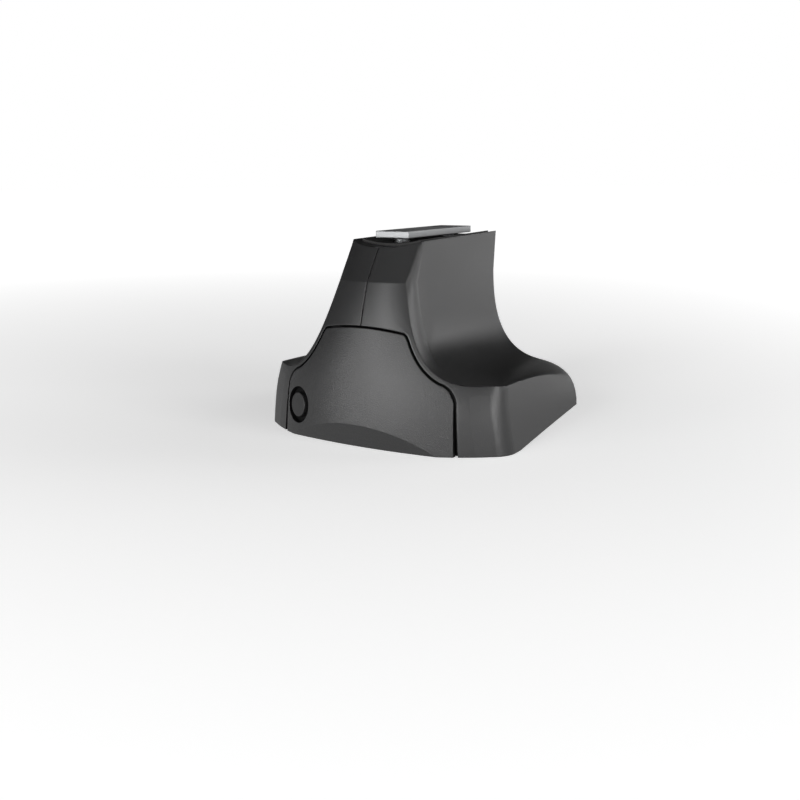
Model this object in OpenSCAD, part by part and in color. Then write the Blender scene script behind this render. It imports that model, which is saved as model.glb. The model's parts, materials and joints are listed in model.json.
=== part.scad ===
// Clamp-down foot for an aero roof bar.
// X runs along the car, Y from the cover towards the car's middle, Z up.
// The origin is the middle of the foot's footprint, at the height of its lowest edge.

/* [Body] */
// Width of the foot across its base
base_w = 134; // [132:0.2:137]
// Depth from the cover's bulge to the rear face
body_depth = 107.2; // [105:0.2:110]
// How far the cover bulges past its lower corners
bulge = 10.2; // [9.6:0.1:10.8]
// Height of the tower's rear rim
tower_h = 93.4; // [91.5:0.1:95]
// Width of the tower at its rim
rim_w = 39.4; // [38.6:0.2:42]
// Width of the tower at its waist
waist_w = 37.2; // [37:0.1:38.6]
// Height of the facet break across the tower's front
break_h = 74.5; // [72:0.5:76]
// Width between the tower's front ridges at the facet break
ridge_w = 35.4; // [34:0.2:36.4]
// Lean of the facet above the break, in degrees from upright
facet_lean = 34; // [30:1:37]
// Height of the wing's shelf at the front
shelf_h = 31; // [29.5:0.5:33]
// Height of the wing's shelf at the rear
shelf_rear_h = 28.9; // [27.5:0.1:30]
// Fall of the shelf's front edge towards the wing's corner
edge_fall = 1.4; // [0.8:0.1:1.8]
// Draft of the wing's sides, millimetres inward for each millimetre up
draft = 0.16; // [0.12:0.01:0.18]
// Radius of the wing's front corners in plan
corner_r = 12; // [10:0.5:14]
// Radius of the rear edges
rear_r = 3; // [2:0.5:4]
// How far the rear lower edge stands above the front one
base_rise = 7.4; // [5:0.2:9]
// Wall thickness of the mouldings
wall = 2.8; // [2.4:0.1:3.0]
// Gap between the two halves of the housing along the centre seam
seam_gap = 0.4; // [0.2:0.1:0.8]

/* [Bar seat] */
// Radius of the hollow that the bar lies in
saddle_r = 66; // [58:1:80]
// Depth of the hollow below the rim
saddle_depth = 3; // [2.4:0.1:3.6]
// Rise of the hollow towards the rear, in degrees
saddle_tilt = 0.9; // [0:0.1:1.4]
// Thickness of the rubber pad in the hollow
pad_t = 1.2; // [0.8:0.1:1.6]
// Length of the clamp plate that enters the bar's slot
clamp_plate_l = 62; // [58:1:66]
// Width of the clamp plate
clamp_plate_w = 18; // [16:0.5:20]
// Thickness of the clamp plate
clamp_plate_t = 3.2; // [2.8:0.1:4]
// Distance between the two clamp bolts
clamp_pitch = 44; // [42:1:46]
// Lift of the clamp plate between clamped and loose
clamp_lift = 2.5; // [1.5:0.1:3]

/* [Cover] */
// Height of the cover at its middle
cover_h = 55; // [54:0.5:56]
// Half the width of the cover at its lower edge
cover_half_w = 47.4; // [47:0.1:48]
// Height of the cover's shoulder
shoulder_h = 32.3; // [31.5:0.1:33]
// Width of the dark gap around the cover
cover_gap = 1; // [0.7:0.1:1.2]
// Extra width of that gap at the cover's lower corners
corner_gap = 0.8; // [0.4:0.1:1]
// Wall thickness of the cover
cover_t = 2.4; // [2:0.1:2.6]
// Height of the scoop in the cover's lower edge
scoop_h = 11.5; // [9:0.5:12]
// Depth of the scoop at the lower edge
scoop_depth = 4.5; // [4:0.1:5]
// Travel that takes the cover clear of the foot
cover_travel = 32; // [26:1:40]

/* [Lock] */
// Distance of the lock from the centre line
lock_x = 36.5; // [35.5:0.1:37]
// Height of the lock
lock_z = 15; // [14.5:0.1:15.5]
// Radius of the lock's outer ring
lock_ring_r = 8.7; // [8.4:0.1:9]
// Radius of the lock's core
lock_core_r = 5.8; // [5.4:0.1:6.2]
// Length of the lock's barrel behind the cover's face
lock_len = 15; // [14:0.5:17]
// Reach of the lock's tongue from its axis
tongue_l = 11; // [10:0.5:12]

/* [Clamp drive] */
// Radius of the tension screw's thread
screw_r = 4; // [3.9:0.05:4.1]
// Height of the tension screw
screw_z = 40; // [39:0.5:41]
// Travel of the hanger
hanger_travel = 30; // [26:1:32]
// Travel of the carriage for the whole of the hanger's travel
carriage_travel = 20; // [18:0.5:21]
// Thickness of the steel frame
frame_t = 2.4; // [2:0.1:2.6]
// Thickness of the carriage's cheeks
cheek_t = 2.6; // [2.2:0.1:2.8]
// Thickness of the hanger's arms
arm_t = 3; // [2.6:0.1:3.2]
// Running gap between neighbouring plates of the drive
plate_gap = 0.4; // [0.3:0.05:0.5]
// Radius of the hanger's stub pins
pin_r = 4; // [3.6:0.1:4.2]
// Distance between the hanger's two hook pegs
peg_pitch = 34.8; // [32:0.2:37]
// Radius of the hook pegs
peg_r = 4; // [3.5:0.1:4.4]
// Thickness of the base plate
base_plate_t = 3; // [2.6:0.1:3.4]

/* [Hidden] */
$fn = 48;
plastic = [0.30, 0.30, 0.30];
dark_plastic = [0.12, 0.12, 0.12];
steel = [0.72, 0.73, 0.75];
black_steel = [0.25, 0.25, 0.27];
rubber = [0.08, 0.08, 0.08];
bronze = [0.72, 0.53, 0.2];
hair = 0.05;
far = 200;

// Depths are first drawn from the line between the cover's lower corners, then moved to the middle.
rear_y = body_depth - bulge;
mid_y = (rear_y - bulge) / 2;

function mix(a, b, t) = a + (b - a) * t;
function ease(t) = let(c = max(0, min(1, t))) c * c * (3 - 2 * c);
function bezier(p, t) =
    pow(1 - t, 3) * p[0] + 3 * pow(1 - t, 2) * t * p[1] + 3 * (1 - t) * t * t * p[2] + pow(t, 3) * p[3];

// Front face: an upright arc that leans back with height, then a flatter facet above the break.
front_slope = 0.0946;
front_curve = 0.00198;
bulge_z = 11;
plan_r_low = 100;
plan_r_top = 40;
function below_break(z) = -bulge + front_slope * (z - bulge_z) + front_curve * pow(z - bulge_z, 2);
function front_mid(z) = z <= break_h ? below_break(z)
    : below_break(break_h) + tan(facet_lean) * (z - break_h);
function plan_r(z) = mix(plan_r_low, plan_r_top, ease((z - 16) / 62));
function front_y(x, z) = let(r = plan_r(z)) front_mid(z) + r - sqrt(r * r - x * x);

// Outline of the wings in plan: the front arc, a rounded corner and the drafted side.
function side_x(z) = base_w / 2 - draft * max(z, 0);
function corner_turn(z) = asin((side_x(z) - corner_r) / (plan_r(z) - corner_r));
function plan_point(turn, z) =
    let(r = plan_r(z), cy = front_mid(z) + r, top = corner_turn(z),
        angle = turn <= 1 ? turn * top : mix(top, 90, turn - 1),
        k = r - corner_r)
    turn <= 1 ? [r * sin(angle), cy - r * cos(angle)]
        : [k * sin(top) + corner_r * sin(angle), cy - k * cos(top) - corner_r * cos(angle)];
function turn_at(x, z) = asin(x / plan_r(z)) / corner_turn(z);

// Levels of the loft from the rim down: tower, flare, shelf and side.
level_top = tower_h + 3;
level_low = -6;
tower_rows = 5;
flare_rows = 18;
shelf_rows = 6;
side_rows = 6;
edge_share = 0.6;
flare_front_x = 50;
ridge_bow = 0.5;
middle_low = 24;
flare_end_rear_x = 45.1;
front_flare = [[ridge_w / 2, break_h], [ridge_w / 2 + 4.5, break_h - 15], [27, shelf_h + 2],
    [flare_front_x, shelf_h]];
rear_flare = [[waist_w / 2, break_h - 1.5], [waist_w / 2 + 0.4, break_h - 16.5], [20.5, shelf_rear_h + 4],
    [flare_end_rear_x, shelf_rear_h]];
rear_side = [[flare_end_rear_x, shelf_rear_h], [60, 27], [66, 21], [base_w / 2 - 0.2, 8]];

// Each row holds its kind and how far down that kind it lies, from 0 to 1.
rows = concat(
    [for (i = [0:tower_rows - 1]) ["tower", i / tower_rows]],
    [for (i = [0:flare_rows - 1]) ["flare", i / flare_rows]],
    [for (i = [0:shelf_rows - 1]) ["shelf", i / shelf_rows]],
    [for (i = [0:side_rows]) ["side", i / side_rows]]);

// Edge of the front face in front view, [x, z].
function edge_front(row) = let(kind = row[0], t = row[1])
    kind == "tower" ? [mix(ridge_w / 2 - 0.8, ridge_w / 2, t) + ridge_bow * sin(180 * t),
        mix(level_top, break_h, t)]
    : kind == "flare" ? bezier(front_flare, t)
    : kind == "shelf" ? let(z = shelf_h - edge_fall * t * t) [plan_point(row_turn(row), z)[0], z]
    : let(z = mix(shelf_h - edge_fall, level_low, t)) [side_x(z), z];
// Height of the row on the front centre line.
function middle_front(row) = let(kind = row[0], t = row[1])
    kind == "shelf" ? mix(shelf_h, middle_low, t)
    : kind == "side" ? mix(middle_low, level_low, t)
    : edge_front(row)[1];
function row_turn(row) = row[0] == "shelf" ? mix(turn_at(flare_front_x, shelf_h), 2, row[1]) : 2;
// Outline at the rear face in rear view, [x, z].
function edge_rear(row) = let(kind = row[0], t = row[1])
    kind == "tower" ? [mix(rim_w / 2 + 0.1, waist_w / 2, t), mix(level_top, break_h - 1.5, t)]
    : kind == "flare" ? bezier(rear_flare, t)
    : kind == "shelf" ? bezier(rear_side, t * edge_share)
    : t < 0.6 ? bezier(rear_side, mix(edge_share, 1, t / 0.6))
    : [base_w / 2 - 0.2, mix(8, level_low, (t - 0.6) / 0.4)];
function middle_rear(row) = let(kind = row[0], t = row[1])
    kind == "shelf" ? mix(shelf_rear_h, 16, t)
    : kind == "side" ? mix(16, level_low, t)
    : edge_rear(row)[1];

// The strip beside the ridge: its depth, its place between rear and front outlines, and its bow.
function strip_depth(row) = let(kind = row[0], t = row[1])
    kind == "tower" ? mix(0.8, 9.7, t)
    : kind == "flare" ? lookup(t, [[0, 9.7], [0.25, 13], [0.45, 16], [0.6, 13], [0.8, 8], [1, 6]])
    : 6;
function strip_share(row) = row[0] == "tower" ? 0.1
    : row[0] == "flare"
        ? lookup(row[1], [[0, 0.1], [0.25, 0.25], [0.5, 0.25], [0.62, 0.5], [0.76, 0.92], [1, 1]])
    : 1;
function strip_bow(row) = row[0] == "tower" ? mix(0.1, 1.2, row[1])
    : row[0] == "flare" ? lookup(row[1], [[0, 1.2], [0.4, 1.3], [0.6, 0.8], [0.8, 0], [1, 0]])
    : 0;

front_columns = 14;
strip_columns = 5;
side_columns = 9;
rear_columns = 2;
drop_power = 2.4;

function front_points(row) = let(e = edge_front(row), m = middle_front(row))
    [for (j = [0:front_columns]) let(w = j / front_columns)
        row[0] == "tower" || row[0] == "flare"
            ? let(r = plan_r(e[1]), x = r * sin(w * asin(e[0] / r))) [x, front_y(x, e[1]), e[1]]
            : let(z = mix(m, e[1], w), p = plan_point(w * row_turn(row), z)) [p[0], p[1], z]];
function crease_point(row, e, ridge) =
    let(b = edge_rear(row)) [mix(b[0], e[0], strip_share(row)), ridge[1] + strip_depth(row), e[1]];
function strip_points(row, ridge, crease) =
    let(dx = crease[0] - ridge[0], dy = crease[1] - ridge[1], l = norm([dx, dy]))
    [for (j = [1:strip_columns]) let(s = j / strip_columns, out = 4 * s * (1 - s) * strip_bow(row) / l)
        [ridge[0] + s * dx + out * dy, ridge[1] + s * dy - out * dx, ridge[2]]];
function side_points(crease, b) =
    [for (j = [1:side_columns]) let(v = j / side_columns)
        [mix(crease[0], b[0], v), mix(crease[1], rear_y - rear_r, v),
         mix(crease[2], b[1], pow(v, drop_power))]];
function rear_points(i) =
    let(b = edge_rear(rows[i]), up = edge_rear(rows[max(i - 1, 0)]),
        down = edge_rear(rows[min(i + 1, len(rows) - 1)]), d = down - up,
        n = i == 0 || i == len(rows) - 1 ? [1, 0] : [-d[1], d[0]] / norm(d))
    [for (j = [1:rear_columns]) let(a = 90 * j / rear_columns, inward = rear_r * (1 - cos(a)))
        [b[0] - n[0] * inward, rear_y - rear_r + rear_r * sin(a), b[1] - n[1] * inward]];
function ring(i) =
    let(row = rows[i], e = edge_front(row), front = front_points(row), ridge = front[front_columns],
        crease = crease_point(row, e, ridge))
    concat(front, strip_points(row, ridge, crease), side_points(crease, edge_rear(row)), rear_points(i),
        [[0, rear_y, middle_rear(row)]]);

// One half of the outer form, on the side that +X points to.
module half_form() {
    rings = [for (i = [0:len(rows) - 1]) ring(i)];
    n = len(rings[0]);
    last = len(rings) - 1;
    walls = [for (i = [0:last - 1], j = [0:n - 1])
        let(a = i * n + j, b = i * n + (j + 1) % n, c = a + n, d = b + n)
        each [[a, b, c], [b, d, c]]];
    top = [for (j = [1:n - 2]) [0, j + 1, j]];
    low = [for (j = [1:n - 2]) [last * n, last * n + j, last * n + j + 1]];
    polyhedron(points = [for (r = rings) each r], faces = concat(walls, top, low), convexity = 6);
}

// Solid behind the front face, set back by an inset.
block_half_w = 52;
block_top = 60;
block_low = -8;
block_back = 30;
module front_block(inset, block_columns, block_rows) {
    n = block_columns + 1;
    face = [for (i = [0:block_rows], j = [0:block_columns])
        let(x = mix(-block_half_w, block_half_w, j / block_columns),
            z = mix(block_low, block_top, i / block_rows))
        [x, front_y(x, z) + inset, z]];
    back = [for (i = [0:block_rows], j = [0:block_columns])
        [face[i * n + j][0], block_back, face[i * n + j][2]]];
    m = len(face);
    front_faces = [for (i = [0:block_rows - 1], j = [0:block_columns - 1])
        let(a = i * n + j, b = a + 1, c = a + n, d = c + 1) each [[a, c, b], [b, c, d]]];
    back_faces = [for (i = [0:block_rows - 1], j = [0:block_columns - 1])
        let(a = m + i * n + j, b = a + 1, c = a + n, d = c + 1) each [[a, b, c], [b, d, c]]];
    low_faces = [for (j = [0:block_columns - 1]) each [[j, j + 1, m + j], [j + 1, m + j + 1, m + j]]];
    top_row = block_rows * n;
    top_faces = [for (j = [0:block_columns - 1]) let(a = top_row + j)
        each [[a, m + a, a + 1], [a + 1, m + a, m + a + 1]]];
    left_faces = [for (i = [0:block_rows - 1]) let(a = i * n)
        each [[a, m + a, a + n], [a + n, m + a, m + a + n]]];
    right_faces = [for (i = [0:block_rows - 1]) let(a = i * n + block_columns)
        each [[a, a + n, m + a], [a + n, m + a + n, m + a]]];
    polyhedron(points = concat(face, back),
        faces = concat(front_faces, back_faces, low_faces, top_faces, left_faces, right_faces),
        convexity = 4);
}

// Middle of the gap around the cover in front view, from the top's middle to the lower corner.
curve_steps = 8;
function curve(p) = [for (i = [1:curve_steps]) bezier(p, i / curve_steps)];
cover_corner = [23.2, cover_h - 5.2];
function cover_side(widen) = concat(
    [for (x = [0:4.9:19.6]) [x, cover_h - 0.005 * x * x]],
    curve([[19.6, cover_h - 1.9], [21.5, cover_h - 2.1], [22.3, cover_h - 3.4], cover_corner]),
    curve([cover_corner, [26.6, cover_h - 12.4], [31, shoulder_h + 3.9], [38, shoulder_h]]),
    curve([[38, shoulder_h], [41.5, shoulder_h - 1.1], [44.7, shoulder_h - 3.7],
        [cover_half_w - 1.7 - 0.25 * widen, shoulder_h - 8.3]]),
    [[cover_half_w - 0.6 - 0.7 * widen, 8.8], [cover_half_w + 0.8 - 1.4 * widen, -10]]);
module cover_outline(widen) {
    right = cover_side(widen);
    left = [for (i = [len(right) - 1:-1:1]) [-right[i][0], right[i][1]]];
    polygon(concat(right, left));
}

// A front-view outline drawn out along Y.
module along_y(y0, y1) {
    translate([0, y1, 0]) rotate([90, 0, 0]) linear_extrude(y1 - y0) children();
}
// A side-view outline, [y, z], drawn out along X.
module along_x(x0, x1) {
    translate([x0, 0, 0]) rotate([90, 0, 90]) linear_extrude(x1 - x0) children();
}
module both_sides() {
    children();
    mirror([1, 0, 0]) children();
}
module seated() {
    translate([0, -mid_y, 0]) children();
}

// Lower edge: level at the front, then rising to the rear.
rise_start = 26;
rise_angle = atan(base_rise / (rear_y - rise_start));
function low_edge(y) = y < rise_start ? 0 : tan(rise_angle) * (y - rise_start);
module below(level) {
    along_x(-far, far)
        polygon([[-far, -far], [far, -far], [far, low_edge(far) + level], [rise_start, level],
            [-far, level]]);
}
module layer(low, high, x0, x1) {
    along_x(x0, x1)
        polygon([[-far, low], [rise_start, low], [far, low_edge(far) + low],
            [far, low_edge(far) + high], [rise_start, high], [-far, high]]);
}

// Hollow for the bar.
module saddle_cut(lift) {
    translate([0, rear_y, tower_h - saddle_depth + lift]) rotate([saddle_tilt, 0, 0])
        translate([0, 0, saddle_r]) rotate([90, 0, 0])
            cylinder(r = saddle_r, h = 3 * far, center = true, $fn = 120);
}
saddle_low = tower_h - saddle_depth;

// Inside of the housing.
ledge_y = 3.5;
ledge_t = 2.5;
ledge_w = 3.5;
ledge_top_w = 7;
room_front = ledge_y + ledge_t;
room_rear = rear_y - wall;
room_half_w = waist_w / 2 - wall;
room_top = saddle_low - 6.5;
room_lean_y = 10.4;
room_round_y = plan_r_low - bulge - 1;
room_round_r = plan_r_low - 6.5;
function inner_edge(i) =
    let(b = edge_rear(rows[i]), up = edge_rear(rows[i - 1]), down = edge_rear(rows[i + 1]), d = down - up,
        n = [-d[1], d[0]] / norm(d))
    b - n * wall;
inner_side = [for (i = [tower_rows + 1:2:len(rows) - 2]) inner_edge(i)];
room_low_x = inner_side[len(inner_side) - 1][0];
module room() {
    intersection() {
        along_y(room_front, room_rear)
            polygon(concat([[-room_half_w, room_top], [room_half_w, room_top]], inner_side,
                [[room_low_x, -far], [-room_low_x, -far]],
                [for (i = [len(inner_side) - 1:-1:0]) [-inner_side[i][0], inner_side[i][1]]]));
        along_x(-far, far)
            polygon([[room_front, -far], [room_front, cover_h - 1], [room_lean_y, break_h - 6],
                [room_lean_y + 10, room_top + 1], [far, room_top + 1], [far, -far]]);
        translate([0, room_round_y, -far]) cylinder(r = room_round_r, h = 2 * far, $fn = 160);
    }
}
lock_clear = 0.4;
cover_peg_r = 1.6;
peg_clear = 0.3;
peg_hole_x = 11;
peg_hole_z = cover_h - 4.2;
stud_front_y = 34;
stud_rear_y = stud_front_y + clamp_pitch;
stud_clear = 0.5;
stud_hole_low = room_top - 12;
boss_x = 50;
boss_front_y = 32;
boss_rear_y = room_rear - 10.2;
boss_r = 4.2;
boss_hole_r = 1.5;
boss_l = 12;
plate_low = 3;
plate_high = plate_low + base_plate_t;

// Square to the lower edge below a point, at a height counted straight up from the edge.
module on_slope(x, y, level) {
    angle = y < rise_start ? 0 : rise_angle;
    translate([x, y, low_edge(y)]) rotate([angle, 0, 0]) translate([0, 0, level * cos(angle)]) children();
}
module housing_half() {
    difference() {
        half_form();
        // The room inside, with two screw bosses left standing under the shelf.
        difference() {
            room();
            for (y = [boss_front_y, boss_rear_y])
                on_slope(boss_x, y, plate_high) cylinder(r = boss_r, h = 3 * boss_l);
        }
        // Pocket for the cover and the opening behind it.
        along_y(-far, ledge_y) offset(delta = cover_gap / 2) cover_outline(0);
        along_y(-far, room_front + hair) intersection() {
            offset(delta = -ledge_w) cover_outline(0);
            translate([-far, -far]) square([2 * far, far + cover_h - ledge_top_w]);
        }
        mirror([1, 0, 0]) lock_place() cylinder(r = lock_ring_r + lock_clear, h = lock_len);
        translate([peg_hole_x, 0, peg_hole_z]) rotate([-90, 0, 0])
            cylinder(r = cover_peg_r + peg_clear, h = 20);
        saddle_cut(0);
        below(0);
        for (y = [stud_front_y, stud_rear_y])
            translate([0, y, stud_hole_low]) cylinder(r = screw_r + stud_clear, h = far);
        for (y = [boss_front_y, boss_rear_y])
            on_slope(boss_x, y, plate_high - 1) cylinder(r = boss_hole_r, h = boss_l - 1);
        // Half of the centre seam.
        translate([-far + seam_gap / 2, -far, -far]) cube([far, 2 * far, 2 * far]);
    }
}
module housing_right() {
    color(plastic) seated() housing_half();
}
module housing_left() {
    color(plastic) seated() mirror([1, 0, 0]) housing_half();
}

// Cover.
cover_back = ledge_y - 1;
scoop_r = 300;
scoop_angle = atan(scoop_depth / scoop_h);
module scoop(inset) {
    translate([0, scoop_depth - bulge + inset, 0]) rotate([scoop_angle, 0, 0]) difference() {
        translate([-far, -far, -far]) cube([2 * far, 2 * far, 2 * far]);
        translate([0, scoop_r, -far - 1]) cylinder(r = scoop_r, h = 2 * far + 2, $fn = 300);
    }
}
rib_x = 14;
rib_z = 31;
rib_t = 1.2;
module lock_place() {
    r = plan_r(lock_z);
    turn = asin(lock_x / r);
    pitch = atan(front_slope + 2 * front_curve * (lock_z - bulge_z));
    translate([-lock_x, front_y(lock_x, lock_z), lock_z]) rotate([0, 0, -turn])
        rotate([-90 - pitch, 0, 0]) children();
}
module front_cover() {
    color(plastic) seated() difference() {
        union() {
            difference() {
                intersection() {
                    front_block(0, 28, 20);
                    along_y(-far, cover_back) offset(delta = -cover_gap / 2) cover_outline(corner_gap);
                }
                difference() {
                    intersection() {
                        front_block(cover_t, 14, 10);
                        along_y(-far, far) offset(delta = -cover_t - cover_gap / 2)
                            cover_outline(corner_gap);
                        translate([-far, -far, cover_t]) cube([2 * far, 2 * far, far]);
                    }
                    scoop(cover_t);
                    lock_place() cylinder(r = lock_ring_r + 2, h = 8);
                    for (x = [-rib_x, rib_x])
                        translate([x - rib_t / 2, -far, 0]) cube([rib_t, 2 * far, far]);
                    translate([-far, -far, rib_z]) cube([2 * far, 2 * far, rib_t]);
                }
            }
            both_sides() translate([peg_hole_x, cover_back - 4, peg_hole_z]) rotate([-90, 0, 0])
                cylinder(r = cover_peg_r, h = 4 + ledge_t + 1);
        }
        scoop(0);
        lock_place() translate([0, 0, -5]) cylinder(r = lock_ring_r + hair, h = 30);
        translate([-far, -far, -far]) cube([2 * far, 2 * far, far]);
    }
}

// Lock, drawn with its face at zero and its length going inward. The dark ring round the disc is the
// open groove between the core and the cover's hole.
lock_groove = 2.4;
lock_flange = 1.4;
sleeve_r = lock_core_r + 1.6;
tongue_t = 2;
tongue_w = 7;
tongue_r = 5.5;
nut_t = 3;
lock_thread_r = 3;
module lock_sleeve() {
    color(dark_plastic) seated() lock_place() difference() {
        union() {
            translate([0, 0, lock_groove]) cylinder(r = lock_ring_r, h = lock_flange);
            translate([0, 0, lock_groove]) cylinder(r = sleeve_r, h = lock_len - lock_groove);
        }
        translate([0, 0, -1]) cylinder(r = lock_core_r + hair, h = lock_len + 2);
    }
}
module lock_core() {
    color(plastic) seated() lock_place() {
        cylinder(r = lock_core_r, h = lock_len + 0.3);
        cylinder(r = lock_thread_r, h = lock_len + 0.3 + tongue_t + nut_t + 1);
    }
}
module lock_tongue() {
    color(steel) seated() lock_place() translate([0, 0, lock_len + 0.3]) difference() {
        union() {
            cylinder(r = tongue_r, h = tongue_t);
            translate([-tongue_l, -tongue_w / 2, 0]) cube([tongue_l, tongue_w, tongue_t]);
        }
        translate([0, 0, -1]) cylinder(r = lock_thread_r + hair, h = tongue_t + 2);
    }
}
module lock_nut() {
    color(steel) seated() lock_place() translate([0, 0, lock_len + 0.3 + tongue_t]) difference() {
        cylinder(r = 5.5, h = nut_t, $fn = 6);
        translate([0, 0, -1]) cylinder(r = lock_thread_r + hair, h = nut_t + 2);
    }
}

// Steel frame: two side plates, a front plate for the screw, a top plate and outward feet.
frame_out = room_half_w - 0.6;
frame_in = frame_out - frame_t;
frame_top = room_top - plate_gap;
frame_front = 15;
frame_rear = room_rear - 2;
front_plate_low = screw_z - 10;
front_plate_high = screw_z + 15;
foot_out = frame_out + 12;
pin_y = 50;
pin_high = 50;
pin_low = pin_high - hanger_travel;
slot_clear = 0.15;
bush_r = screw_r + 1.6;
foot_y0 = 30;
foot_y1 = room_rear - 6.2;
bolt_x = frame_out + 6;
bolt_front_y = 38;
bolt_rear_y = room_rear - 14.2;
bolt_r = 3;
module slot_x(y0, z0, y1, z1, r) {
    run = norm([y1 - y0, z1 - z0]);
    for (p = [[y0, z0], [y1, z1]])
        translate([-far / 2, p[0], p[1]]) rotate([0, 90, 0]) cylinder(r = r, h = far);
    translate([-far / 2, y0, z0]) rotate([atan2(z1 - z0, y1 - y0), 0, 0]) translate([0, 0, -r])
        cube([far, run, 2 * r]);
}
module steel_frame() {
    color(black_steel) seated() difference() {
        union() {
            both_sides() difference() {
                along_x(frame_in, frame_out)
                    polygon([[frame_front, front_plate_low], [foot_y0, plate_high + 8], [foot_y0, 0],
                        [foot_y1, 0], [frame_rear, 30], [frame_rear, frame_top],
                        [frame_front + 9, frame_top], [frame_front, front_plate_high]]);
                below(plate_high);
                slot_x(pin_y, pin_low, pin_y, pin_high, pin_r + slot_clear);
            }
            both_sides() intersection() {
                layer(plate_high, plate_high + frame_t, frame_in, foot_out);
                translate([0, foot_y0, 0]) cube([far, foot_y1 - foot_y0, 60]);
            }
            translate([-frame_out, frame_front, front_plate_low])
                cube([2 * frame_out, frame_t, front_plate_high - front_plate_low]);
            translate([-frame_out, frame_front + 9, frame_top - frame_t])
                cube([2 * frame_out, frame_rear - frame_front - 9, frame_t]);
        }
        translate([0, 0, screw_z]) rotate([-90, 0, 0]) cylinder(r = bush_r + hair, h = 30);
        for (y = [stud_front_y, stud_rear_y])
            translate([0, y, stud_hole_low]) cylinder(r = screw_r + stud_clear, h = far);
        both_sides() for (y = [bolt_front_y, bolt_rear_y])
            on_slope(bolt_x, y, 0) cylinder(r = bolt_r + 0.2, h = 30);
    }
}

// Base plate with the hanger's way out, and its fasteners.
base_out = 0.4;
base_half_w = room_low_x - base_out;
way_out_w = peg_pitch + 2 * peg_r + 8;
module base_plate() {
    color(dark_plastic) seated() difference() {
        intersection() {
            layer(plate_low, plate_high, -far, far);
            translate([0, room_round_y, -far])
                cylinder(r = room_round_r - base_out, h = 2 * far, $fn = 160);
            translate([-base_half_w, room_front + base_out, -far])
                cube([2 * base_half_w, room_rear - room_front - 2 * base_out, 2 * far]);
        }
        translate([-way_out_w / 2, -far, -1]) cube([way_out_w, far + 20, 40]);
        translate([-frame_in, 0, -1]) cube([2 * frame_in, pin_y + 12, 40]);
        both_sides() for (y = [bolt_front_y, bolt_rear_y])
            on_slope(bolt_x, y, 0) cylinder(r = bolt_r + 0.2, h = 30);
        both_sides() for (y = [boss_front_y, boss_rear_y])
            on_slope(boss_x, y, 0) cylinder(r = boss_hole_r + 0.4, h = 30);
    }
}
screw_head_t = 1.8;
bolt_head_r = 5;
bolt_socket_r = 2.3;
socket_depth = 1.4;
bolt_end = 7;
module base_screws() {
    color(steel) seated() both_sides() for (y = [boss_front_y, boss_rear_y]) difference() {
        on_slope(boss_x, y, plate_low) {
            translate([0, 0, -screw_head_t]) cylinder(r = 3.6, h = screw_head_t);
            translate([0, 0, -screw_head_t]) cylinder(r = boss_hole_r - hair, h = boss_l);
        }
        on_slope(boss_x, y, plate_low) translate([0, 0, -screw_head_t - 1])
            cylinder(r = 1.6, h = 2, $fn = 6);
    }
}
module frame_bolts() {
    color(steel) seated() both_sides() for (y = [bolt_front_y, bolt_rear_y])
        on_slope(bolt_x, y, plate_low) translate([0, 0, -screw_head_t]) difference() {
            union() {
                cylinder(r = bolt_head_r, h = screw_head_t);
                cylinder(r = bolt_r, h = screw_head_t + base_plate_t + frame_t + bolt_end);
            }
            translate([0, 0, -1]) cylinder(r = bolt_socket_r, h = 1 + socket_depth, $fn = 6);
        }
}
module frame_nuts() {
    color(steel) seated() both_sides() for (y = [bolt_front_y, bolt_rear_y])
        on_slope(bolt_x, y, plate_high + frame_t) difference() {
            cylinder(r = 5.5, h = 5, $fn = 6);
            translate([0, 0, -1]) cylinder(r = bolt_r + hair, h = 8);
        }
}

// Tension screw, held in the front plate by its bush, washer and clip.
bush_flange = 1.5;
washer_t = 1.6;
head_l = 8;
head_r = 6.5;
thread_clear = 0.05;
seat_gap = 0.1;
flange_y = frame_front - bush_flange;
washer_y = flange_y - washer_t - seat_gap;
head_y = washer_y - head_l - seat_gap;
clip_y = frame_front + frame_t + 0.4;
clip_t = 1.2;
screw_end = frame_rear;
module along_screw(y) {
    translate([0, y, screw_z]) rotate([-90, 0, 0]) children();
}
module tension_screw() {
    color(steel) seated() difference() {
        union() {
            along_screw(head_y) cylinder(r = head_r, h = head_l);
            along_screw(head_y) cylinder(r = screw_r - thread_clear, h = screw_end - head_y);
        }
        along_screw(head_y - 1) cylinder(r = 3.46, h = 6, $fn = 6);
        along_screw(clip_y - hair) difference() {
            cylinder(r = 10, h = clip_t + 2 * hair);
            cylinder(r = screw_r - 0.8, h = clip_t + 2 * hair);
        }
    }
}
module ring_on_screw(y, outer, inner, t) {
    along_screw(y) difference() {
        cylinder(r = outer, h = t);
        translate([0, 0, -1]) cylinder(r = inner, h = t + 2);
    }
}
module screw_washer() {
    color(steel) seated() ring_on_screw(washer_y, 8, screw_r + 0.3, washer_t);
}
module screw_bush() {
    color(bronze) seated() difference() {
        union() {
            along_screw(flange_y) cylinder(r = 7.5, h = bush_flange);
            along_screw(flange_y) cylinder(r = bush_r, h = bush_flange + frame_t);
        }
        along_screw(flange_y - 1) cylinder(r = screw_r, h = 10);
    }
}
module screw_clip() {
    color(black_steel) seated() difference() {
        ring_on_screw(clip_y, screw_r + 2.2, screw_r - 0.8 + hair, clip_t);
        translate([-1.6, clip_y - 1, screw_z]) cube([3.2, clip_t + 2, 20]);
    }
}

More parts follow.
